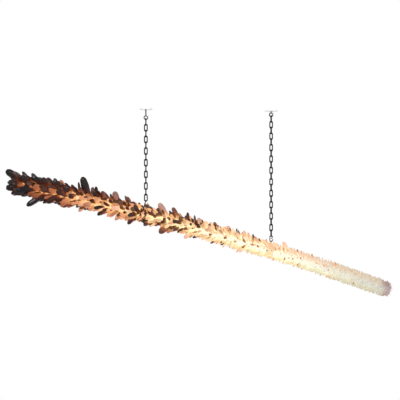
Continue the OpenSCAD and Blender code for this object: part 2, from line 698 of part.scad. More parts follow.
small_points(0, 1, rose);  // rose_points_left
small_points(0, 2, clear);  // clear_points_left
small_points(1, 0, smoky);  // smoky_points_middle
small_points(1, 1, rose);  // rose_points_middle
small_points(1, 2, clear);  // clear_points_middle
small_points(2, 0, smoky);  // smoky_points_right
small_points(2, 1, rose);  // rose_points_right
small_points(2, 2, clear);  // clear_points_right
left_tip_points();
right_tip_points();
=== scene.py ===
# %% [markdown]
# # Branch chandelier
# A lit tube, about two metres long, hangs at a slant from two steel chains. Hundreds of crystal points
# stand on it. At the high left end they are long and smoky, and the light only glows between their
# roots. At the low right end they are short and clear, and the light washes through them.
# This lesson dresses the chandelier: it cuts bevels on the crystals, fills the gaps between them with a
# bed of small points, turns the chains into swept wire, and paints glass, steel, enamel and light.
# The solids come from the frame, which also says what moves.

# %% Load the frame
import math
import bmesh
import bpy
import numpy as np
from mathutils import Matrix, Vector


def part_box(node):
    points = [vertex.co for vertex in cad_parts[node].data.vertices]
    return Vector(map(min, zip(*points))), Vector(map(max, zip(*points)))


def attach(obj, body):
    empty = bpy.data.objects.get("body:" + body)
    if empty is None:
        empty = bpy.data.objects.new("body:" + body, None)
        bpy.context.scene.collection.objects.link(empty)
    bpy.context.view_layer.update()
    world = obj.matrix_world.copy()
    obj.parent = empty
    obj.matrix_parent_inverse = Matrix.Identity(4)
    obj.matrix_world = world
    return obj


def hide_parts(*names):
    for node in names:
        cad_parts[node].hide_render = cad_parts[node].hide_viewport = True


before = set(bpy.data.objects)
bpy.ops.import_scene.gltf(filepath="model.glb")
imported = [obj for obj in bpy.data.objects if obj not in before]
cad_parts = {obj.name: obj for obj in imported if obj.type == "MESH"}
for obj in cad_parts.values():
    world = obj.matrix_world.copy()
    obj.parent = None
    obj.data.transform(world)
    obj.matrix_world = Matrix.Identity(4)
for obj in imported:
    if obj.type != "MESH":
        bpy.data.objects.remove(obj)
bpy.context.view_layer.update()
MM = 0.001

# %% [markdown]
# ## The camera
# The photographer stood a little to the left of the middle, level with the stem and nearly four metres
# away. The focal length is written in pixels of the square photograph and turned into millimetres,
# because a long lens far away flattens the slanted stem as the photograph does.

# %% Place the camera
def add_object(name, data):
    """An object that holds the data and stands in the scene."""
    made = bpy.data.objects.new(name, data)
    bpy.context.scene.collection.objects.link(made)
    return made


PHOTO_SIDE = 400
FOCAL_PIXELS = 760
CAMERA_TURN = math.radians(7)
CAMERA_DISTANCE = 3.783
LOOK_AT = Vector((-0.0459, 0.0, -0.4505))

camera = add_object("camera", bpy.data.cameras.new("camera"))
camera.data.sensor_width = 36
camera.data.lens = camera.data.sensor_width * FOCAL_PIXELS / PHOTO_SIDE
toward_object = Vector((math.sin(CAMERA_TURN), math.cos(CAMERA_TURN), 0))
camera.location = LOOK_AT - toward_object * CAMERA_DISTANCE
camera.rotation_euler = (math.radians(90), 0, -CAMERA_TURN)
bpy.context.scene.camera = camera
bpy.context.scene.view_settings.view_transform = "Standard"
print("lens", round(camera.data.lens, 1), "mm")

# %% [markdown]
# ## Writing trees as sums
# A material is a small sum: so much dirt, so much glow, times how near a point is to the light. Node
# editors hide such sums in wires, so a `Value` wraps one output of a node, and `+`, `-`, `*`, `/`, `**`
# and `<` on it add the Math nodes. Materials and Geometry Nodes both use it.

# %% Values that can be added and multiplied
class Value:
    """One output of a node in a tree."""

    def __init__(self, tree, socket):
        self.tree = tree
        self.socket = socket

    def output(self, name):
        """Another output of the same node."""
        return Value(self.tree, self.socket.node.outputs[name])

    def math(self, operation, *terms):
        return self.tree.node("ShaderNodeMath", enumerate((self, *terms)), operation=operation)

    def __add__(self, other):
        return self.math("ADD", other)

    def __sub__(self, other):
        return self.math("SUBTRACT", other)

    def __rsub__(self, other):
        return self.tree.node("ShaderNodeMath", {0: other, 1: self}, operation="SUBTRACT")

    def __mul__(self, other):
        return self.math("MULTIPLY", other)

    def __truediv__(self, other):
        return self.math("DIVIDE", other)

    def __pow__(self, other):
        return self.math("POWER", other)

    def __lt__(self, other):
        return self.math("LESS_THAN", other)

    def clamp(self):
        return self.tree.node("ShaderNodeClamp", {"Value": self})

    __radd__ = __add__
    __rmul__ = __mul__


# %% [markdown]
# A `Tree` makes any node in one line: its kind, a plain number or a `Value` for each of its sockets, and
# its settings by name. What comes back is a `Value` for one of its outputs. A colour is three numbers.

# %% Trees of nodes
class Tree:
    """A tree of nodes, for a material, for geometry or for the world."""

    def __init__(self, tree):
        self.tree = tree
        tree.nodes.clear()

    def node(self, kind, sockets=(), output=0, **settings):
        made = self.tree.nodes.new(kind)
        for key, value in settings.items():
            setattr(made, key, value)
        for key, value in dict(sockets).items():
            socket = made.inputs[key]
            if isinstance(value, Value):
                self.tree.links.new(value.socket, socket)
            else:
                socket.default_value = (*value, 1) if socket.type == "RGBA" else value
        return Value(self, made.outputs[output]) if made.outputs else None

    def both(self, operation, first, second):
        """Two colours or directions, added or multiplied part by part."""
        return self.node("ShaderNodeVectorMath", {0: first, 1: second}, operation=operation)

    def scaled(self, vector, strength):
        """A colour or a direction times a number."""
        return self.node("ShaderNodeVectorMath", {0: vector, "Scale": strength}, operation="SCALE")


# %% [markdown]
# A `Recipe` is the tree of one material. Its `finish` connects the surface that light meets, so that
# each finish below reads as a list of its properties.

# %% Recipes for materials
class Recipe(Tree):
    """One material, with the nodes that its finish needs."""

    def __init__(self, name):
        self.material = bpy.data.materials.new(name)
        self.material.use_nodes = True
        super().__init__(self.material.node_tree)

    def place(self):
        """The point on the piece, in metres, as one vector and as three Values."""
        vector = self.node("ShaderNodeTexCoord", output="Object")
        x = self.node("ShaderNodeSeparateXYZ", {0: vector})
        return vector, [x, x.output("Y"), x.output("Z")]

    def attribute(self, name):
        return self.node("ShaderNodeAttribute", output="Fac", attribute_name=name)

    def noise(self, vector, scale, detail=2.0):
        return self.node("ShaderNodeTexNoise", {"Vector": vector, "Scale": scale, "Detail": detail})

    def ramp(self, value, stops):
        """A colour that follows the value through stops of (place, colour)."""
        made = self.node("ShaderNodeValToRGB", {"Fac": value})
        elements = made.socket.node.color_ramp.elements
        while len(elements) < len(stops):
            elements.new(1)
        for element, (place, colour) in zip(elements, stops):
            element.position = place
            element.color = (*colour, 1)
        return made

    def mix(self, factor, first, second):
        sockets = {0: factor, 6: first, 7: second}
        return self.node("ShaderNodeMix", sockets, 2, data_type="RGBA")

    def fade(self, value, *stops):
        """A number that follows the value through stops of (place, number)."""
        greys = [(place, (number,) * 3) for place, number in stops]
        return self.node("ShaderNodeRGBToBW", {"Color": self.ramp(value, greys)})

    def bump(self, height, depth, strength=1.0):
        return self.node("ShaderNodeBump", {"Height": height, "Distance": depth, "Strength": strength})

    def finish(self, **sockets):
        """Connects a Principled surface, with its sockets given by name."""
        named = {key.replace("_", " "): value for key, value in sockets.items()}
        surface = self.node("ShaderNodeBsdfPrincipled", named)
        self.node("ShaderNodeOutputMaterial", {"Surface": surface})
        return self.material


# %% [markdown]
# ## The line of the stem
# The tube bows gently, and everything on it is placed from its middle line: the glow, the bed of small
# points, the colours from left to right. The line is measured from the three lengths of diffuser. A
# parabola fits so flat an arc to a fraction of a millimetre.

# %% Measure the stem
def corners_of(mesh):
    """The corners of a mesh, in rows of x, y and z."""
    return np.array([corner.co for corner in mesh.vertices])


TUBES = ["diffuser_left", "diffuser_middle", "diffuser_right"]
tube_points = np.vstack([corners_of(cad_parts[name].data) for name in TUBES])
curve_c, curve_b, curve_a = np.polyfit(tube_points[:, 0], tube_points[:, 2], 2).tolist()
STEM_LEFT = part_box("end_cap_left")[0].x
STEM_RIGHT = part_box("end_cap_right")[1].x


def stem_height(x):
    """How high the middle line is at x, which may be a number, an array or a Value."""
    return curve_a + curve_b * x + curve_c * x * x


def stem_slope(x):
    return curve_b + 2 * curve_c * x


def stem_frame(x):
    """Middle of the stem at x, with its direction to the right and the direction up across it."""
    along = Vector((1, 0, stem_slope(x))).normalized()
    return Vector((x, 0, stem_height(x))), along, Vector((-along.z, 0, along.x))


def from_axis(points):
    """How far points lie from the stem's middle line."""
    x = points[:, 0]
    up = (points[:, 2] - stem_height(x)) / np.sqrt(1 + stem_slope(x) ** 2)
    return np.hypot(points[:, 1], up)


TUBE_R = float(np.max(from_axis(tube_points)))
print("tube radius", round(TUBE_R / MM, 2), "mm, stem", round((STEM_RIGHT - STEM_LEFT) / MM), "mm across")

# %% [markdown]
# ## Light from inside
# Two values describe how the light of the tube meets a crystal: how far along the stem a point lies,
# and how far out from the tube. Both come from the point's own place, so they hold from every side.

# %% Where a point lies on the stem
def stem_values(recipe):
    """Share of the way from left to right, metres out of the stem, and metres above its middle."""
    vector, (x, y, z) = recipe.place()
    share = ((x - STEM_LEFT) / (STEM_RIGHT - STEM_LEFT)).clamp()
    slope = stem_slope(x)
    above = (z - stem_height(x)) / (slope * slope + 1) ** 0.5
    out = (above * above + y * y) ** 0.5 - TUBE_R
    out = out.math("MAXIMUM", x * -1 + STEM_LEFT).math("MAXIMUM", x - STEM_RIGHT)
    return vector, share, out, above


# %% [markdown]
# The strips are warm at the left and cooler to the right. Glass takes away blue first, then green, so
# the glow turns from the colour of the tube to amber, to red, and then dies.

# %% The light, and what glass leaves of it
LIGHT_COLOURS = [
    (0.00, (0.60, 0.28, 0.12)),
    (0.06, (0.84, 0.40, 0.16)),
    (0.12, (0.90, 0.45, 0.18)),
    (0.24, (1.00, 0.60, 0.25)),
    (0.42, (1.00, 0.84, 0.46)),
    (0.58, (1.00, 0.98, 0.74)),
    (0.80, (0.90, 0.93, 0.84)),
    (1.00, (0.76, 0.78, 0.77)),
]


def lamp_level(recipe, share):
    """The strips are turned down toward the right end, where little glass stands in their way."""
    return recipe.fade(share, (0.6, 1.0), (0.8, 0.62), (1.0, 0.40))


def shine_through(recipe, path, depths):
    """The share of red, green and blue that is left after some metres of glass."""
    left = {}
    for channel, depth in zip(("Red", "Green", "Blue"), depths):
        left[channel] = (path * (-1 / (depth * MM))).math("EXPONENT")
    return recipe.node("ShaderNodeCombineColor", left)


def root_glow(recipe, share, shade, seen, strength, inner):
    """The tube's light as it leaves the glass, painted as a glow, over a faint painted glow in the glass's
    own colour.
    """
    light = recipe.both("MULTIPLY", recipe.ramp(share, LIGHT_COLOURS), seen)
    light = recipe.scaled(light, (shade * 0.5 + 0.75) * lamp_level(recipe, share) * strength)
    return recipe.both("ADD", light, inner)


# %% [markdown]
# ## Crystal glass
# Each crystal has its own shade, from nearly black to brown, and its own cloudiness. Growth lines run
# across its faces every few millimetres. Close to its root the lit tube shines through it, for a few
# millimetres in smoky glass and for some centimetres in clear glass. Real refraction in a thousand
# crystals would be slow and noisy, so this loss is worked out as a sum.

# %% Tints of the glass, and painted room light on clear glass
TOP_LIGHT_BAND = 50 * MM
# Painted room light on clear glass, by height across the stem: yellow below, peach on top.
TOP_LIGHT_TINTS = [(0.15, (0.80, 0.85, 0.60)), (0.5, (0.84, 0.82, 0.66)), (0.85, (0.74, 0.50, 0.39))]
FADED_TOP_LIGHT_TINTS = [(0.15, (0.64, 0.70, 0.60)), (0.5, (0.67, 0.72, 0.69)), (0.85, (0.66, 0.64, 0.56))]
LILAC = (0.40, 0.31, 0.38)
AMBER = (0.62, 0.30, 0.12)


def painted_top_light(recipe, share, above):
    """Painted room light on clear glass: peach on top, where the room lights it, and yellow below."""
    height = (above / TOP_LIGHT_BAND + 0.5).clamp()
    fading = recipe.fade(share, (0.68, 0), (0.9, 1))
    return recipe.mix(fading, recipe.ramp(height, TOP_LIGHT_TINTS), recipe.ramp(height, FADED_TOP_LIGHT_TINTS))


def smoke_in(recipe, share):
    """Toward the left end even the paler glass is smoky."""
    return recipe.fade(share, (0.02, 0.10), (0.1, 0.3), (0.2, 0.85), (0.3, 1.0))


def tip_share(recipe, share):
    """1 on the needles of the right tip, where the glass is lilac."""
    return recipe.fade(share, (0.974, 0), (0.988, 1))


def darker_tips(recipe, body, root_to_tip, at_tip):
    return recipe.mix(root_to_tip * (at_tip * 0.6 + 0.3), body, recipe.scaled(body, 0.55))


def glass_surface(recipe, body, pale, glow, fine, roughness, coat, normal):
    """Glass in the room's light, with a painted glow; where it pales, its base colour is turned down."""
    coat_weight, coat_roughness = coat
    return recipe.finish(
        Base_Color=recipe.scaled(body, 0.8 - pale * 0.25),
        Roughness=(fine * 0.3 + roughness).clamp(),
        Emission_Color=glow,
        Emission_Strength=1.0,
        Specular_IOR_Level=0.12,
        Coat_Weight=coat_weight,
        Coat_Roughness=coat_roughness,
        Normal=normal,
    )


# %% [markdown]
# One function mixes every kind of glass: a colour from the crystal's shade and its veils, a paler one
# toward the right end, on rose and clear glass with painted room light on top, a darker tip, and the
# painted glow at the root. Growth lines are a sine along it.

# %% The recipe of a crystal's glass
GROWTH_PERIOD = 4.5 * MM
FINE_GRAIN = 420


def crystal_finish(name, bodies, depths, strength, painted_glow, roughness, tint_and_top_light_share, paling):
    recipe = Recipe(name)
    vector, share, out, above = stem_values(recipe)
    root_to_tip = recipe.attribute("root_to_tip")
    reach = recipe.attribute("reach")
    shade = recipe.attribute("shade")
    veils = recipe.noise(vector, 70, 3)
    at_tip = tip_share(recipe, share)
    pale = recipe.fade(share, (paling[0], 0), (paling[1], 1))
    # Rose and clear glass take painted room light on top; smoky glass takes plain amber.
    tint_and_top_light = painted_top_light(recipe, share, above) if painted_glow else AMBER
    tint_and_top_light = recipe.mix(at_tip, tint_and_top_light, LILAC)
    body = recipe.ramp((shade * 0.86 + veils * 0.28 - 0.07).clamp(), bodies)
    body = recipe.mix(pale * tint_and_top_light_share, body, tint_and_top_light)
    body = darker_tips(recipe, body, root_to_tip, at_tip)
    body = recipe.scaled(body, smoke_in(recipe, share))
    path = (out * 0.6 + reach * 0.4) * (veils * 0.6 + 0.7) / (shade * 1.1 + 0.5)
    # Painted glow: the glass shines faintly in its own colour, more where it pales, which flattens its
    # shading.
    inner = recipe.scaled(recipe.mix(pale * 0.7, body, tint_and_top_light), pale * 0.3 + painted_glow)
    glow = root_glow(recipe, share, shade, shine_through(recipe, path, depths), strength, inner)
    growth = (reach * (2 * math.pi / GROWTH_PERIOD) + veils * 26).math("SINE")
    fine = recipe.noise(vector, FINE_GRAIN)
    normal = recipe.bump(growth * 0.12 + fine, 0.25 * MM, 0.5)
    return glass_surface(recipe, body, pale, glow, fine, roughness, (0.2, 0.08), normal)


# %% [markdown]
# The colours of each kind of glass run from its darkest crystals to its palest. The depths say after
# how many millimetres red, green and blue are down to a third.

# %% Mix the crystal finishes
SMOKY_BODIES = [
    (0.00, (0.008, 0.005, 0.004)),
    (0.35, (0.018, 0.010, 0.008)),
    (0.55, (0.045, 0.023, 0.016)),
    (0.70, (0.060, 0.046, 0.038)),
    (0.86, (0.130, 0.080, 0.060)),
    (1.00, (0.210, 0.150, 0.120)),
]
ROSE_BODIES = [
    (0.00, (0.23, 0.13, 0.10)),
    (0.35, (0.55, 0.375, 0.31)),
    (0.65, (0.62, 0.45, 0.37)),
    (1.00, (0.67, 0.52, 0.45)),
]
BED_BODIES = [
    (0.00, (0.20, 0.10, 0.07)),
    (0.35, (0.44, 0.26, 0.18)),
    (0.65, (0.59, 0.36, 0.23)),
    (1.00, (0.64, 0.46, 0.35)),
]
CLEAR_BODIES = [
    (0.00, (0.56, 0.34, 0.20)),
    (0.50, (0.72, 0.52, 0.34)),
    (1.00, (0.80, 0.68, 0.52)),
]
SMOKY_DEPTHS = (7.0, 4.4, 3.0)
BIG_SMOKY_DEPTHS = (13, 7.0, 4.5)
ROSE_DEPTHS = (30, 15, 9)
CLEAR_DEPTHS = (45, 32, 24)
CRYSTAL_GLASS = {
    # name: (colours, depths, strength, painted glow, roughness, share of tint and painted top light, where
    # along the stem it pales)
    "smoky_glass": (SMOKY_BODIES, SMOKY_DEPTHS, 0.8, 0.0, 0.16, 0.9, (0.38, 0.64)),
    "big_smoky_glass": (SMOKY_BODIES[:4], BIG_SMOKY_DEPTHS, 0.8, 0.0, 0.16, 0.9, (0.5, 0.75)),
    "rose_glass": (ROSE_BODIES, ROSE_DEPTHS, 0.8, 0.10, 0.20, 0.6, (0.42, 0.74)),
    "clear_glass": (CLEAR_BODIES, CLEAR_DEPTHS, 0.45, 0.14, 0.18, 0.85, (0.42, 0.74)),
}
glass = {name: crystal_finish(name, *values) for name, values in CRYSTAL_GLASS.items()}
print("crystal finishes", list(glass))

# %% [markdown]
# ## Cutting the crystals
# The frame's crystals are loose triangles. A copy is merged and its flat faces are joined, and then
# every crystal is an island of its own. On each island the face nearest to the stem is the root, and
# the corner farthest from it is the tip, which gives each crystal a root-to-tip value for its glow and
# its growth lines. A small bevel breaks the edges, because a polished edge catches the studio light.

# %% Copy and merge a node
SAME_PLACE = 0.002 * MM
FLAT = math.radians(2)


def merged_copy(node, name):
    """A closed copy of a node, with its triangles joined into flat faces."""
    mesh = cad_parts[node].data.copy()
    mesh.name = name
    mesh.materials.clear()
    work = bmesh.new()
    work.from_mesh(mesh)
    bmesh.ops.remove_doubles(work, verts=work.verts, dist=SAME_PLACE)
    bmesh.ops.dissolve_limit(work, angle_limit=FLAT, verts=work.verts, edges=work.edges)
    work.to_mesh(mesh)
    work.free()
    for attribute in [a.name for a in mesh.attributes if a.name.startswith(("custom_normal", "UVMap"))]:
        mesh.attributes.remove(mesh.attributes[attribute])
    return add_object(name, mesh)


def islands_of(mesh):
    """Lists of corner numbers, one for each separate crystal."""
    work = bmesh.new()
    work.from_mesh(mesh)
    seen = set()
    found = []
    for start in work.verts:
        if start.index in seen:
            continue
        seen.add(start.index)
        island = []
        stack = [start]
        while stack:
            corner = stack.pop()
            island.append(corner.index)
            for edge in corner.link_edges:
                other = edge.other_vert(corner)
                if other.index not in seen:
                    seen.add(other.index)
                    stack.append(other)
        found.append(island)
    work.free()
    return found


# %% [markdown]
# A crystal may stand on the tube or on an end cap, so the distance from the stem counts both. The shade
# is a random number for each crystal, drawn with a fixed seed, so that it is the same on each run.

# %% Mark each crystal's root and tip
LEFT_MIDDLE, LEFT_ALONG, _ = stem_frame(STEM_LEFT)
RIGHT_MIDDLE, RIGHT_ALONG, _ = stem_frame(STEM_RIGHT)


def outside_stem(points):
    """How far points lie outside the tube and its two caps."""
    past_left = (np.array(LEFT_MIDDLE) - points) @ np.array(LEFT_ALONG)
    past_right = (points - np.array(RIGHT_MIDDLE)) @ np.array(RIGHT_ALONG)
    return np.maximum(np.maximum(past_left, past_right), from_axis(points) - TUBE_R)


def mark_crystals(piece, seed):
    """Adds root_to_tip, reach and shade to every corner of every crystal."""
    mesh = piece.data
    chance = np.random.default_rng(seed)
    places = corners_of(mesh)
    share, reach, shade = np.zeros((3, len(places)), np.float32)
    face_of = {}
    for face in mesh.polygons:
        face_of.setdefault(face.vertices[0], []).append(face)
    islands = islands_of(mesh)
    for island in islands:
        faces = [face for corner in island for face in face_of.get(corner, [])]
        centres = np.array([face.center for face in faces])
        root = centres[int(np.argmin(outside_stem(centres)))]
        corners = places[island]
        away = corners - root
        tip = corners[int(np.argmax((away**2).sum(1)))]
        axis = (tip - root) / np.linalg.norm(tip - root)
        height = away @ axis
        share[island] = np.clip(height / height.max(), 0, 1)
        reach[island] = height
        shade[island] = chance.random()
    for name, values in (("root_to_tip", share), ("reach", reach), ("shade", shade)):
        mesh.attributes.new(name, "FLOAT", "POINT").data.foreach_set("value", values)
    mesh.shade_flat()
    return len(islands)


# %% [markdown]
# The wide points at the left get a broad bevel in two steps. The fine ones at the right get a narrow
# one, and the needles of the right tip a very narrow one, because a bevel also cuts a sharp tip back.

# %% Cut every crystal node
KIND_OF_TIP = {"left_tip_points": "smoky", "right_tip_points": "rose"}


def kind_of(node):
    """Smoky, rose or clear, or nothing for a node that isn't crystal."""
    named = [kind for kind in ("smoky", "rose", "clear") if kind + "_points" in node]
    return KIND_OF_TIP.get(node, named[0] if named else None)


BROKEN_EDGES = {"large": 1.8, "left_tip": 1.8, "right_tip": 0.1}


def broken_edge(node):
    """How wide the edges of a node's crystals are broken."""
    for start, width in BROKEN_EDGES.items():
        if node.startswith(start):
            return width * MM
    return 0.4 * MM if node.endswith("right") else 0.9 * MM


def bevel_edges(piece, width, segments, sharpest):
    bevel = piece.modifiers.new("broken edges", "BEVEL")
    bevel.width = width
    bevel.segments = segments
    bevel.limit_method = "ANGLE"
    bevel.angle_limit = sharpest


FIRST_SEED = 40
crystal_nodes = [name for name in sorted(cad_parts) if kind_of(name)]
crystal_count = 0
for number, name in enumerate(crystal_nodes):
    kind = kind_of(name)
    piece = merged_copy(name, name + "_cut")
    crystal_count += mark_crystals(piece, FIRST_SEED + number)
    width = broken_edge(name)
    bevel_edges(piece, width, 2 if width > MM else 1, math.radians(12))
    finish = "big_smoky_glass" if name == "large_smoky_points" else kind + "_glass"
    piece.data.materials.append(glass[finish])
    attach(piece, "stem")
    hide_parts(name)
    kind + "_crystal"
print("cut", crystal_count, "crystals on", len(crystal_nodes), "nodes")

# %% [markdown]
# ## The bed of small points
# On the real stem small points grow in every gap between the larger ones, so that hardly any tube
# shows. Thousands of them are no work for hands, so Geometry Nodes scatter them. The tree is made once,
# and each stretch of the stem uses it with its own sizes. The small crystals come first, with three
# outlines for each part of the stem.

# %% Small crystals
OUTLINES = {
    # share of the length, half of the width there
    "shape_paddle": (6, [(0, 0.34), (0.5, 0.5), (0.82, 0.42), (0.95, 0.26), (1, 0.1)]),
    "shape_knob": (7, [(0, 0.4), (0.45, 0.5), (0.78, 0.44), (0.93, 0.27), (1, 0.1)]),
    "shape_blunt": (6, [(0, 0.42), (0.6, 0.5), (0.84, 0.38), (1, 0.16)]),
    "shape_spear": (5, [(0, 0.44), (0.5, 0.48), (0.8, 0.3), (1, 0.03)]),
    "shape_needle": (5, [(0, 0.5), (0.6, 0.44), (1, 0.04)]),
    "shape_needle_slim": (4, [(0, 0.4), (0.5, 0.36), (1, 0.03)]),
}


def new_mesh(name, corners, faces=()):
    mesh = bpy.data.meshes.new(name)
    mesh.from_pydata(corners, [], faces)
    return mesh


def small_crystal(name, sides, outline):
    """A closed crystal one unit long and one wide, with its foot at the origin."""
    corners = []
    for height, radius in outline:
        for side in range(sides):
            turn = 2 * math.pi * (side + 0.5) / sides
            corners.append((radius * math.cos(turn), radius * math.sin(turn), height))
    top = len(corners) - sides
    faces = [tuple(range(sides - 1, -1, -1)), tuple(range(top, top + sides))]
    for low in range(0, top, sides):
        for side in range(sides):
            after = (side + 1) % sides
            faces.append((low + side, low + after, low + sides + after, low + sides + side))
    mesh = new_mesh(name, corners, faces)
    heights = [corner[2] for corner in corners]
    mesh.attributes.new("root_to_tip", "FLOAT", "POINT").data.foreach_set("value", heights)
    return bpy.data.objects.new(name, mesh)


small_shapes = {name: small_crystal(name, *form) for name, form in OUTLINES.items()}


def shape_set(name, *members):
    collection = bpy.data.collections.new(name)
    for member in members:
        collection.objects.link(small_shapes[member])
    return collection


ROUNDED = shape_set("rounded", "shape_paddle", "shape_knob", "shape_blunt")
POINTED = shape_set("pointed", "shape_blunt", "shape_spear", "shape_knob")
NEEDLES = shape_set("needles", "shape_needle", "shape_spear", "shape_needle_slim")
print("shapes", list(small_shapes))

# %% [markdown]
# A geometry tree is wired in the same way as a material. Each input has a name, and a value is given to
# the input's own identifier before the tree first runs. What it makes is kept as a plain mesh, so that
# the result no longer depends on the tree's modifier.

# %% Trees that make geometry
class GeometryTree(Tree):
    """A Geometry Nodes tree with named inputs."""

    def __init__(self, name, inputs):
        super().__init__(bpy.data.node_groups.new(name, "GeometryNodeTree"))
        face = self.tree.interface
        face.new_socket("Geometry", in_out="OUTPUT", socket_type="NodeSocketGeometry")
        self.names = {}
        for label, kind in {"Geometry": "Geometry", **inputs}.items():
            socket = face.new_socket(label, in_out="INPUT", socket_type="NodeSocket" + kind)
            self.names[label] = socket.identifier
        first = self.node("NodeGroupInput")
        self.given = {label: first.output(label) for label in self.names}

    def random(self, low, high, seed):
        return self.node("FunctionNodeRandomValue", {2: low, 3: high, "Seed": seed}, 1)

    def close(self, geometry):
        """Makes instances real, sets the material and ends the tree."""
        real = self.node("GeometryNodeRealizeInstances", {0: geometry})
        sockets = {"Geometry": real, "Material": self.given["Material"]}
        self.node("NodeGroupOutput", {0: self.node("GeometryNodeSetMaterial", sockets)})
        print(self.tree.name, len(self.tree.nodes), "nodes")

    def run(self, soil, name, values):
        """Runs the tree on an object, which it uses up, and keeps the result as a plain mesh."""
        modifier = soil.modifiers.new(name, "NODES")
        modifier.node_group = self.tree
        for label, value in values.items():
            modifier[self.names[label]] = value
        seen = soil.evaluated_get(bpy.context.evaluated_depsgraph_get())
        mesh = bpy.data.meshes.new_from_object(seen)
        mesh.name = name
        bpy.data.objects.remove(soil)
        return add_object(name, mesh)


# %% [markdown]
# The tree has four steps: points on the ground, a direction for each, a size for each, and a crystal
# set on it. The points keep a least distance from one another, as crystals that grow side by side do.

# %% Scatter points
SIZES = ["Spacing", "Length", "Width", "Variety", "Rise", "Flatness", "Paleness"]
bed = GeometryTree("bed of small points", {
    **dict.fromkeys(SIZES, "Float"),
    "Stem direction": "Vector",
    "Seed": "Int",
    "Shapes": "Collection",
    "Material": "Material",
})
given = bed.given
POINTS_PER_SQUARE_METRE = 60000.0
scatter = bed.node("GeometryNodeDistributePointsOnFaces", {
    "Mesh": given["Geometry"],
    "Distance Min": given["Spacing"],
    "Density Max": POINTS_PER_SQUARE_METRE,
    "Seed": given["Seed"],
}, distribute_method="POISSON")
facing = scatter.output("Normal")

# %% [markdown]
# A crystal leans to the left, as its larger neighbours do, and strays a little from that line. Its flat
# side is then turned outward, so that the viewer sees it broad.

# %% Aim each crystal
RISE_SPREAD = (0.72, 1.3)
STRAY = (0.22, 0.22, 0.22)
rise = given["Rise"] * bed.random(*RISE_SPREAD, 11)
outward = bed.scaled(facing, rise.math("SINE"))
leftward = bed.scaled(given["Stem direction"], rise.math("COSINE"))
stray = bed.node("FunctionNodeRandomValue", {
    0: tuple(-part for part in STRAY),
    1: STRAY,
    "Seed": 5,
}, data_type="FLOAT_VECTOR")
aim = bed.both("ADD", bed.both("SUBTRACT", outward, leftward), stray)
aimed = bed.node("FunctionNodeAlignRotationToVector", {"Vector": aim}, axis="Z")
sockets = {"Rotation": aimed, "Vector": facing}
turn = bed.node("FunctionNodeAlignRotationToVector", sockets, axis="Y", pivot_axis="Z")

# %% [markdown]
# Neighbours differ in length and width. On the sides, facing the viewer, they are shorter, because
# there they would hide the channel of light.

# %% Size each crystal
LONGEST = 1.12
LOSS_AT_THE_SIDES = -0.3
WIDTH_SPREAD = (0.65, 1.1)
size = LONGEST - bed.random(0, 1, 3) * given["Variety"]
sideways = bed.node("ShaderNodeSeparateXYZ", {0: facing}, "Y").math("ABSOLUTE")
length = given["Length"] * size * sideways.math("MULTIPLY_ADD", LOSS_AT_THE_SIDES, 1.0)
width = given["Width"] * bed.random(*WIDTH_SPREAD, 4)
scale = bed.node("ShaderNodeCombineXYZ", {0: width, 1: width * given["Flatness"], 2: length})

# %% [markdown]
# One of three shapes is drawn for each point. Two numbers go with it into the mesh, for its glass: a
# shade, and a kind that tends to clear at the sides.

# %% Set the crystals
choice = bed.node("FunctionNodeRandomValue", {4: 0, 5: 2, "Seed": 7}, 2, data_type="INT")
kinds = bed.node("GeometryNodeCollectionInfo", {
    "Collection": given["Shapes"],
    "Separate Children": True,
    "Reset Children": True,
})
planted = bed.node("GeometryNodeInstanceOnPoints", {
    "Points": scatter,
    "Instance": kinds,
    "Pick Instance": True,
    "Instance Index": choice,
    "Rotation": turn,
    "Scale": scale,
})
shade = bed.random(0, 1, 21)
kind = sideways.math("MULTIPLY_ADD", given["Paleness"], bed.random(0, 1, 22))
for label, value in (("shade", shade), ("kind", kind)):
    sockets = {"Geometry": planted, "Name": label, "Value": value}
    planted = bed.node("GeometryNodeStoreNamedAttribute", sockets, domain="INSTANCE")
bed.close(planted)

# %% [markdown]
# The bed's glass mixes the three kinds. Each small point carries a number, and the share of smoky,
# rose and clear ones changes from left to right. On top more of them are smoky than below.

# %% The bed's glass
MORE_ABOVE = 10
TIP_PATH = 8 * MM


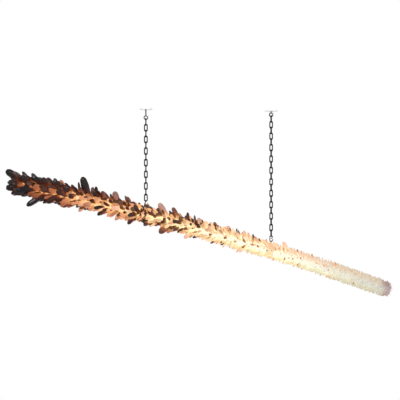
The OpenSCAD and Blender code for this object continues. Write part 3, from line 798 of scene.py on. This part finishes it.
def bed_finish(name, own_tint=None):
    recipe = Recipe(name)
    vector, share, out, above = stem_values(recipe)
    shade = recipe.attribute("shade")
    kind = recipe.attribute("kind")
    root_to_tip = recipe.attribute("root_to_tip")
    smoky_share = recipe.fade(share, (0.1, 1.0), (0.2, 0.72), (0.42, 0.6), (0.52, 0.26), (0.75, 0.0))
    smoky_share = smoky_share * (above * MORE_ABOVE * (share * 6).clamp() + 1)
    is_smoky = kind < smoky_share
    is_rose = kind < smoky_share + 0.4
    veils = recipe.noise(vector, 90)
    tone = (shade * 0.8 + veils * 0.3 - 0.05).clamp()
    at_tip = tip_share(recipe, share)
    pale = recipe.fade(share, (0.42, 0), (0.74, 1))
    smoke = smoke_in(recipe, share)
    # The tint carries painted room light on top, except where a finish brings its own tint.
    tint_and_top_light = recipe.mix(at_tip, own_tint or painted_top_light(recipe, share, above), LILAC)
    light_body = recipe.mix(is_rose, recipe.ramp(tone, CLEAR_BODIES), recipe.ramp(tone, BED_BODIES))
    light_body = recipe.scaled(recipe.mix(pale * 0.8, light_body, tint_and_top_light), smoke)
    smoky_body = recipe.scaled(recipe.ramp(tone, SMOKY_BODIES), smoke * 0.6 + 0.4)
    body = recipe.mix(is_smoky, light_body, smoky_body)
    body = darker_tips(recipe, body, root_to_tip, at_tip)
    path = (out * 0.7 + root_to_tip * TIP_PATH) * (veils * 0.6 + 0.7)
    through_pale = shine_through(recipe, path, ROSE_DEPTHS)
    seen = recipe.mix(is_smoky, through_pale, shine_through(recipe, path, SMOKY_DEPTHS))
    # Painted glow: non-smoky points shine faintly in their own colour, which flattens their shading.
    inner = recipe.scaled(body, (1 - is_smoky) * (pale * 0.25 + 0.15))
    glow = root_glow(recipe, share, shade, seen, 0.8, inner)
    fine = recipe.noise(vector, FINE_GRAIN)
    normal = recipe.bump(fine, 0.2 * MM, 0.4)
    return glass_surface(recipe, body, pale, glow, fine, 0.2, (0.12, 0.1), normal)


bed_glass = bed_finish("bed_glass")
sprig_glass = bed_finish("sprig_glass", (0.70, 0.36, 0.18))
print("bed finishes", bed_glass.name, sprig_glass.name)

# %% [markdown]
# The ground for the bed is the tube itself, rebuilt as rings from the measured line. Two bands of it,
# above and below, are planted thickly, and the two between them thinly, which leaves the channel of
# light that runs along the stem, a little below its middle. The collars are ground as well, wider
# than the tube and deeper at their ears, so that short points hide the clamps.

# %% Make the ground
COLLAR_LEFT = [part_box("collar_upper_left")[end].x for end in (0, 1)]
COLLAR_RIGHT = [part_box("collar_upper_right")[end].x for end in (0, 1)]
COLLAR_WALL = 3.7 * MM
COLLAR_R = TUBE_R + COLLAR_WALL
EAR_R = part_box("collar_upper_right")[1].y
GROUND_SIDES = 36
GROUND_STEP = 12 * MM
CHANNEL_MIDDLE = -0.3
CHANNEL_HALF = 0.47
print("collar ground", round(COLLAR_R / MM, 1), "mm from the line, ears", round(EAR_R / MM, 1), "mm")


def ring(x, height, depth, way=1):
    """Corners round the stem at x."""
    middle, _, up = stem_frame(x)
    corners = []
    for side in range(GROUND_SIDES):
        angle = way * 2 * math.pi * side / GROUND_SIDES
        corners.append(middle + up * (height * math.cos(angle)) + Vector((0, -depth * math.sin(angle), 0)))
    return corners


def ground(name, left, right, wanted, height=TUBE_R, depth=TUBE_R):
    """A sleeve round the stem from left to right, kept where wanted says so."""
    steps = max(2, round((right - left) / GROUND_STEP))
    corners = []
    for step in range(steps + 1):
        corners += ring(left + (right - left) * step / steps, height, depth)
    faces = []
    for step in range(steps):
        for side in range(GROUND_SIDES):
            if not wanted(math.cos(2 * math.pi * (side + 0.5) / GROUND_SIDES)):
                continue
            after = (side + 1) % GROUND_SIDES
            low, high = step * GROUND_SIDES, (step + 1) * GROUND_SIDES
            faces.append((low + side, low + after, high + after, high + side))
    return add_object(name, new_mesh(name, corners, faces))


def end_ground(name, x, radius, side):
    """A disc on the face of an end cap; side is -1 at the left end and 1 at the right end."""
    corners = ring(x + side * 0.5 * MM, radius, radius, side)
    return add_object(name, new_mesh(name, corners, [tuple(range(GROUND_SIDES))]))


# %% [markdown]
# Planting runs the tree on one piece of ground, hangs the result on the stem's body, so that it swings
# with it, and names the finish that it wears.

# %% Plant one piece of ground
def plant(
    soil, name, shapes, spacing, length, width, flatness, rise, seed,
    variety=0.65, paleness=0.3, lean=1, finish=bed_glass,
):
    """Grows small points on one piece of ground."""
    x = [corner.co.x for corner in soil.data.vertices]
    piece = bed.run(soil, name, {
        "Spacing": spacing * MM,
        "Length": length * MM,
        "Width": width * MM,
        "Variety": variety,
        "Rise": math.radians(rise),
        "Flatness": flatness,
        "Paleness": paleness,
        "Stem direction": list(stem_frame((min(x) + max(x)) / 2)[1] * lean),
        "Seed": seed,
        "Shapes": shapes,
        "Material": finish,
    })
    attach(piece, "stem")
    print(name, len(piece.data.polygons), "faces")


# %% [markdown]
# Each stretch of the stem has its own sizes, long and wide at the left and short and slim at the right,
# as the crystals on the real stem change along it.

# %% Plant the stretches
def above_and_below(up):
    return abs(up - CHANNEL_MIDDLE) >= CHANNEL_HALF


def at_the_sides(up):
    return abs(up - CHANNEL_MIDDLE) < CHANNEL_HALF


EDGE = 3 * MM
STRETCHES = {
    # name: (left, right, shapes, spacing, length, width, rise, variety, thinning at the sides)
    "far_left": (STEM_LEFT + EDGE, STEM_LEFT + 0.26, ROUNDED, 16, 64, 35, 38, 0.45, 1.4),
    "left": (STEM_LEFT + 0.26, COLLAR_LEFT[0], ROUNDED, 13.5, 52, 24, 46, 0.6, 1.8),
    "middle_left": (COLLAR_LEFT[1], 0.02, ROUNDED, 12, 41, 22, 46, 0.5, 2.2),
    "middle_right": (0.02, COLLAR_RIGHT[0], ROUNDED, 8, 35, 12, 56, 0.6, 2.0),
    "right": (COLLAR_RIGHT[1], 0.62, POINTED, 6.2, 25, 9, 62, 0.5, 1.6),
    "far_right": (0.62, 0.88, POINTED, 5, 24.5, 9.5, 64, 0.22, 1.3),
    "right_tip": (0.88, STEM_RIGHT - EDGE, POINTED, 5, 21.5, 9, 66, 0.3, 1.3),
}
for number, (name, stretch) in enumerate(STRETCHES.items()):
    left, right, shapes, spacing, length, width, rise, variety, thinning = stretch
    thick = ground(name, left, right, above_and_below)
    plant(thick, "bed_" + name, shapes, spacing, length, width, 0.8, rise, 2 * number, variety)
    thin = ground(name, left, right, at_the_sides)
    plant(
        thin, "bed_sides_" + name, shapes, spacing * thinning, length * 0.92, width * 0.95, 0.5,
        rise * 0.8, 2 * number + 1, variety,
    )

# %% [markdown]
# A few amber sprigs stand out among the clear points. They are planted far apart, so that each shows.

# %% Plant the sprigs
SPRIGS = {
    # name: (left, right, shapes, spacing, length, width, rise, seed)
    "sprigs_middle": (0.05, COLLAR_RIGHT[0], ROUNDED, 44, 42, 17, 50, 36),
    "sprigs_right": (COLLAR_RIGHT[1], 0.66, ROUNDED, 40, 37, 13, 48, 43),
}
for name, (left, right, shapes, spacing, length, width, rise, seed) in SPRIGS.items():
    soil = ground(name, left, right, above_and_below)
    plant(soil, name, shapes, spacing, length, width, 0.7, rise, seed, 0.35, finish=sprig_glass)


# %% [markdown]
# The collars are planted with short points, down to their ears but not on top, where the eye and its
# hook need room.

# %% Hide the collars
def clear_of_hook(up):
    """All round but for the top, where the eye and its hook are."""
    return up < 0.93


COLLAR_EDGE = 2 * MM
COLLAR_BEDS = {
    # side: (left and right, spacing, length, width, paleness)
    "left": (COLLAR_LEFT, 6.5, 21, 15, 0.4),
    "right": (COLLAR_RIGHT, 2.9, 16, 11, 0.9),
}
for side, ((left, right), spacing, length, width, paleness) in COLLAR_BEDS.items():
    edges = (left - COLLAR_EDGE, right + COLLAR_EDGE)
    soil = ground("collar_" + side, *edges, clear_of_hook, COLLAR_R, EAR_R + COLLAR_EDGE)
    plant(soil, "bed_collar_" + side, ROUNDED, spacing, length, width, 0.7, 62, 30, paleness=paleness)

# %% [markdown]
# The ends have a face as well as a rim. At the left the face carries a few broad points, and at the
# right needles part in all directions. The ground, the sets and the shapes are no longer needed then.

# %% Plant the ends
left_face = end_ground("left_face", STEM_LEFT, TUBE_R - 2 * MM, -1)
plant(left_face, "bed_left_end", ROUNDED, 10, 58, 34, 0.85, 72, 31, paleness=0)
TIP_RINGS = {
    # name: (millimetres from the right end where it starts and ends, length, rise, seed)
    "parting": (13, 5, 11, 88, 32),
    "rim": (7, 0, 12, 58, 34),
}
for name, (inner, outer, length, rise, seed) in TIP_RINGS.items():
    rim = ground(name, STEM_RIGHT - inner * MM, STEM_RIGHT - outer * MM, lambda up: True)
    plant(rim, "bed_right_" + name, NEEDLES, 2.2, length, 8, 1, rise, seed, lean=-1)
right_face = end_ground("right_face", STEM_RIGHT, TUBE_R, 1)
plant(right_face, "bed_right_end", NEEDLES, 3.4, 9, 5.2, 1, 80, 33, lean=-1)

for collection in (ROUNDED, POINTED, NEEDLES):
    bpy.data.collections.remove(collection)
for shape in small_shapes.values():
    bpy.data.objects.remove(shape)

# %% [markdown]
# ## The lit tube
# Opal plastic hides the strips and turns them into one band of light. It is warm and dim at the left
# and pale at the right, with the faint beat of the diodes behind it.

# %% Paint the diffuser
def opal_finish():
    recipe = Recipe("opal_plastic")
    vector, share, _, _ = stem_values(recipe)
    light = recipe.ramp(share, LIGHT_COLOURS)
    cloud = recipe.noise(vector, 60)
    strength = (cloud * 0.2 + 0.9) * lamp_level(recipe, share)
    grain = recipe.noise(vector, 900)
    return recipe.finish(
        Base_Color=recipe.mix(cloud, (0.30, 0.27, 0.22), (0.36, 0.34, 0.30)),
        Roughness=(grain * 0.2 + 0.35).clamp(),
        Emission_Color=recipe.scaled(light, strength),
        Emission_Strength=1.0,
        Specular_IOR_Level=0.3,
        Normal=recipe.bump(grain, 0.05 * MM, 0.4),
    )


def paint(node, material):
    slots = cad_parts[node].data.materials
    slots.clear()
    slots.append(material)


opal_plastic = opal_finish()
for node in TUBES:
    paint(node, opal_plastic)
print("opal plastic on", TUBES)

# %% [markdown]
# ## Steel and enamel
# The chains, hooks, eyes and collars are blackened steel: dark, with brown oxide in cloudy patches and
# a dull sheen. The ceiling plates are white enamel with a faint orange peel. Noise at two scales makes
# both, the wide one for the colour and the fine one for the sheen.

# %% Mix the steel and the enamel
def blackened_steel_finish():
    recipe = Recipe("blackened_steel")
    vector, _ = recipe.place()
    oxide = recipe.noise(vector, 160, 4)
    scratches = recipe.noise(vector, 1400)
    return recipe.finish(
        Base_Color=recipe.ramp(oxide, [(0.3, (0.010, 0.009, 0.008)), (0.7, (0.040, 0.031, 0.026))]),
        Metallic=0.6,
        Roughness=(oxide * 0.35 + scratches * 0.1 + 0.32).clamp(),
        Specular_IOR_Level=0.25,
        Normal=recipe.bump(oxide + scratches * 0.4, 0.12 * MM, 0.6),
    )


def enamel_finish():
    recipe = Recipe("white_enamel")
    vector, _ = recipe.place()
    peel = recipe.noise(vector, 380)
    stain = recipe.noise(vector, 30, 3)
    return recipe.finish(
        Base_Color=recipe.mix(stain, (0.82, 0.81, 0.79), (0.87, 0.865, 0.85)),
        Roughness=(peel * 0.15 + 0.3).clamp(),
        Coat_Weight=0.3,
        Normal=recipe.bump(peel, 0.08 * MM, 0.5),
    )


blackened_steel = blackened_steel_finish()
white_enamel = enamel_finish()
print("mixed", blackened_steel.name, white_enamel.name)

# %% [markdown]
# ## The pieces inside
# An extruded aluminium bar carries the LED strips, white discs centre it, and a lead feeds it. Bare
# metal and plastic differ in colour, sheen and grain only, so one function mixes them from a table.

# %% Mix metal and plastic
def grained_finish(name, colour, shaded, metallic, roughness, grain_scale, grain_depth):
    """Bare metal or plastic, a little darker and rougher in its grain."""
    recipe = Recipe(name)
    vector, _ = recipe.place()
    grain = recipe.noise(vector, grain_scale, 3)
    return recipe.finish(
        Base_Color=recipe.mix(grain, tuple(shaded * part for part in colour), colour),
        Metallic=metallic,
        Roughness=(grain * 0.25 + roughness).clamp(),
        Normal=recipe.bump(grain, grain_depth * MM, 0.5),
    )


GRAINED = {
    # name: (colour, share of it in the grain, metallic, roughness, grain scale, grain depth)
    "zinc_steel": ((0.62, 0.63, 0.66), 0.82, 1.0, 0.25, 500, 0.05),
    "extruded_aluminium": ((0.74, 0.75, 0.77), 0.82, 1.0, 0.3, 800, 0.05),
    "white_plastic": ((0.85, 0.84, 0.81), 0.94, 0.0, 0.4, 700, 0.06),
    "black_plastic": ((0.045, 0.042, 0.040), 0.94, 0.0, 0.45, 700, 0.06),
    "lead_sheath": ((0.055, 0.050, 0.046), 0.94, 0.0, 0.5, 700, 0.06),
}
grained = {name: grained_finish(name, *values) for name, values in GRAINED.items()}
print("mixed", list(grained))

# %% [markdown]
# A strip is white, with a yellow diode every few millimetres. A sine along the stem marks the diodes.

# %% Paint the pieces inside
DIODE_PITCH = 8 * MM


def strip_finish():
    recipe = Recipe("led_strip")
    _, (x, _, _) = recipe.place()
    lit = ((x * (2 * math.pi / DIODE_PITCH)).math("SINE") - 0.3).clamp()
    return recipe.finish(
        Base_Color=recipe.mix(lit, (0.80, 0.78, 0.72), (0.92, 0.75, 0.25)),
        Roughness=(lit * 0.2 + 0.4).clamp(),
        Emission_Color=recipe.scaled(recipe.mix(lit, (1.0, 0.6, 0.3), (1.0, 0.8, 0.5)), lit * 2 + 0.2),
        Emission_Strength=1.0,
    )


paint("core_bar", grained["extruded_aluminium"])
paint("led_strips", strip_finish())
paint("spacer_discs", grained["white_plastic"])
paint("cable_gland", grained["black_plastic"])
paint("feed_lead", grained["lead_sheath"])
print("painted the bar, strips, discs, gland and lead")

# %% [markdown]
# Metal pieces from the frame are merged so that their round faces shade smoothly, with sharp edges
# where two faces meet at an angle. On all but the hooks and eye bolts those edges are broken by a small
# bevel.

# %% Smooth the metal pieces
CREASE = math.radians(32)


def smooth_piece(node, body, material, edge=0.0):
    piece = merged_copy(node, node + "_finished")
    mesh = piece.data
    mesh.shade_smooth()
    mesh.set_sharp_from_angle(angle=CREASE)
    if edge:
        bevel_edges(piece, edge, 2, CREASE)
    mesh.materials.append(material)
    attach(piece, body)
    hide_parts(node)


for side in ("left", "right"):
    smooth_piece(f"ceiling_plate_{side}", "ceiling", white_enamel, 0.6 * MM)
    smooth_piece(f"ceiling_hook_{side}", "ceiling", blackened_steel)
    smooth_piece(f"eye_bolt_{side}", "stem", blackened_steel)
    for node in (f"collar_upper_{side}", f"collar_lower_{side}", f"end_cap_{side}"):
        smooth_piece(node, "stem", blackened_steel, 0.4 * MM)
smooth_piece("lower_hook_right", "lower_hook_right", blackened_steel)
for node in ("collar_screws", "collar_nuts", "end_cap_screws"):
    smooth_piece(node, "stem", grained["zinc_steel"], 0.2 * MM)
print("metal pieces smoothed, with a crease at", round(math.degrees(CREASE)), "degrees")

# %% [markdown]
# ## Chain links
# A link is round wire bent into a long ring and closed by a weld in the middle of one leg. The same ring
# hangs again and again, every second one turned by a quarter, and that is work for a tree: a rectangle
# has its corners rounded until they meet, wire is swept along it with a bead at the weld, and one ring
# is set on each point. The points, and the sizes of the ring, are measured from the frame's links.

# %% The tree that bends links
LINK_SIZES = ["Length", "Width", "Wire", "Weld"]
links = GeometryTree("bent links", {**dict.fromkeys(LINK_SIZES, "Float"), "Material": "Material"})
given = links.given
CORNER_STEPS = 16
RING_POINTS = 72
WIRE_SIDES = 14
WELD_LENGTH = 1.7 * MM
ring_width = given["Width"] - given["Wire"]
outline = links.node("GeometryNodeCurvePrimitiveQuadrilateral", {
    "Width": ring_width,
    "Height": given["Length"] - given["Wire"],
})
rounded = links.node("GeometryNodeFilletCurve", {
    "Curve": outline,
    "Count": CORNER_STEPS,
    "Radius": ring_width * 0.4999,
    "Limit Radius": True,
}, mode="POLY")
path = links.node("GeometryNodeResampleCurve", {"Curve": rounded, "Count": RING_POINTS})
spot = links.node("ShaderNodeSeparateXYZ", {0: links.node("GeometryNodeInputPosition")})
along_leg = spot.output("Y") / WELD_LENGTH
one_leg = spot.math("GREATER_THAN", 0.0)
bead = (along_leg * along_leg * -1.0).math("EXPONENT") * one_leg * given["Weld"]
thickened = links.node("GeometryNodeSetCurveRadius", {"Curve": path, "Radius": bead + 1.0})
wire = links.node("GeometryNodeCurvePrimitiveCircle", {
    "Resolution": WIRE_SIDES,
    "Radius": given["Wire"] * 0.5,
})
bent = links.node("GeometryNodeCurveToMesh", {"Curve": thickened, "Profile Curve": wire})
smooth = links.node("GeometryNodeSetShadeSmooth", {"Geometry": bent, "Shade Smooth": True})
quarter = links.node("GeometryNodeInputNamedAttribute", {"Name": "turned"})
pose = links.node("ShaderNodeCombineXYZ", {0: math.pi / 2, 2: quarter * (math.pi / 2)})
hung = links.node("GeometryNodeInstanceOnPoints", {
    "Points": given["Geometry"],
    "Instance": smooth,
    "Rotation": links.node("FunctionNodeEulerToRotation", {0: pose}),
})
links.close(hung)

# %% [markdown]
# Each link of the frame is an island of its own mesh. Its middle gives a point, and its longer side in
# plan tells whether it is turned by a quarter. The open hook isn't a ring, and keeps the frame's mesh.

# %% Hang the chains
WELD_SWELL = 0.13


def hang_links(node):
    """Rings of swept wire in place of the frame's links, one for each of its islands."""
    measured = merged_copy(node, node + "_measured")
    places = corners_of(measured.data)
    islands = [places[island] for island in islands_of(measured.data)]
    bpy.data.objects.remove(measured)
    spans = np.array([island.max(0) - island.min(0) for island in islands])
    mesh = new_mesh(node, [(island.max(0) + island.min(0)) / 2 for island in islands])
    turned = (spans[:, 0] < spans[:, 1]).astype(np.float32)
    mesh.attributes.new("turned", "FLOAT", "POINT").data.foreach_set("value", turned)
    piece = links.run(add_object(node + "_points", mesh), node + "_wire", {
        "Length": float(spans[:, 2].max()),
        "Width": float(spans[:, :2].max()),
        "Wire": float(spans[:, :2].min()),
        "Weld": WELD_SWELL,
        "Material": blackened_steel,
    })
    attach(piece, node)
    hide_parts(node)
    print(node, len(islands), "links,", len(piece.data.polygons), "faces")


for node in ("top_link_left", "top_link_right", "chain_left", "chain_right", "bottom_link_left"):
    hang_links(node)

# %% [markdown]
# ## The studio
# The photograph has a plain white ground. The world is white where the camera, a reflection or glass
# looks at it, and a soft grey as a lamp, because a white one would wash out the facets.

# %% Make the backdrop
AMBIENT = 0.42


def studio_world():
    world = bpy.data.worlds.new("studio")
    bpy.context.scene.world = world
    world.use_nodes = True
    tree = Tree(world.node_tree)
    camera_ray = tree.node("ShaderNodeLightPath", output="Is Camera Ray")
    seen = camera_ray.math("MAXIMUM", camera_ray.output("Is Glossy Ray"))
    seen = seen.math("MAXIMUM", camera_ray.output("Is Transmission Ray"))
    lamp = tree.node("ShaderNodeBackground", {"Color": (AMBIENT,) * 3})
    backdrop = tree.node("ShaderNodeBackground", {"Color": (1, 1, 1)})
    surface = tree.node("ShaderNodeMixShader", {0: seen, 1: lamp, 2: backdrop})
    tree.node("ShaderNodeOutputWorld", {"Surface": surface})


studio_world()
print("backdrop", bpy.context.scene.world.name)

# %% [markdown]
# One large lamp stands high at the front left and a weaker one at the right, as softboxes do in a
# photographer's studio. The difference between them gives each facet its own tone.

# %% Place the lamps
def softbox(name, place, width, power):
    lamp = bpy.data.lights.new(name, "AREA")
    lamp.shape = "SQUARE"
    lamp.size = width
    lamp.energy = power
    holder = add_object(name, lamp)
    holder.location = place
    holder.rotation_euler = (LOOK_AT - Vector(place)).to_track_quat("-Z", "Y").to_euler()


softbox("key", (-1.6, -2.6, 1.2), 1.6, 70)
softbox("fill", (2.2, -2.4, 0.2), 1.8, 28)
print("lamps", [light.name for light in bpy.data.lights])

# %% [markdown]
# A pale floor lies a room's height below the ceiling. It belongs to the stage and isn't part of the
# chandelier.

# %% Lay the floor
ROOM_HEIGHT = 2.4
FLOOR_RADIUS = 3.3
FLOOR_SIDES = 96


def studio_floor():
    """A pale disc that glows faintly, so that its edge is lost in the white backdrop."""
    corners = []
    for side in range(FLOOR_SIDES):
        angle = 2 * math.pi * side / FLOOR_SIDES
        corners.append((FLOOR_RADIUS * math.cos(angle), FLOOR_RADIUS * math.sin(angle), -ROOM_HEIGHT))
    mesh = new_mesh("floor", corners, [tuple(range(FLOOR_SIDES))])
    floor = add_object("floor", mesh)
    recipe = Recipe("pale_floor")
    vector, (x, y, _) = recipe.place()
    speckle = recipe.noise(vector, 25, 3)
    from_middle = (x * x + y * y) / FLOOR_RADIUS**2
    glow = from_middle * 0.16 + 0.41
    mesh.materials.append(recipe.finish(
        Base_Color=recipe.mix(speckle, (0.80, 0.80, 0.80), (0.84, 0.84, 0.84)),
        Roughness=(speckle * 0.1 + 0.7).clamp(),
        Emission_Color=recipe.scaled(recipe.mix(speckle, (0.98, 0.98, 0.98), (1.0, 1.0, 1.0)), glow),
        Emission_Strength=1.0,
    ))


studio_floor()
print("floor", ROOM_HEIGHT, "m below the ceiling")
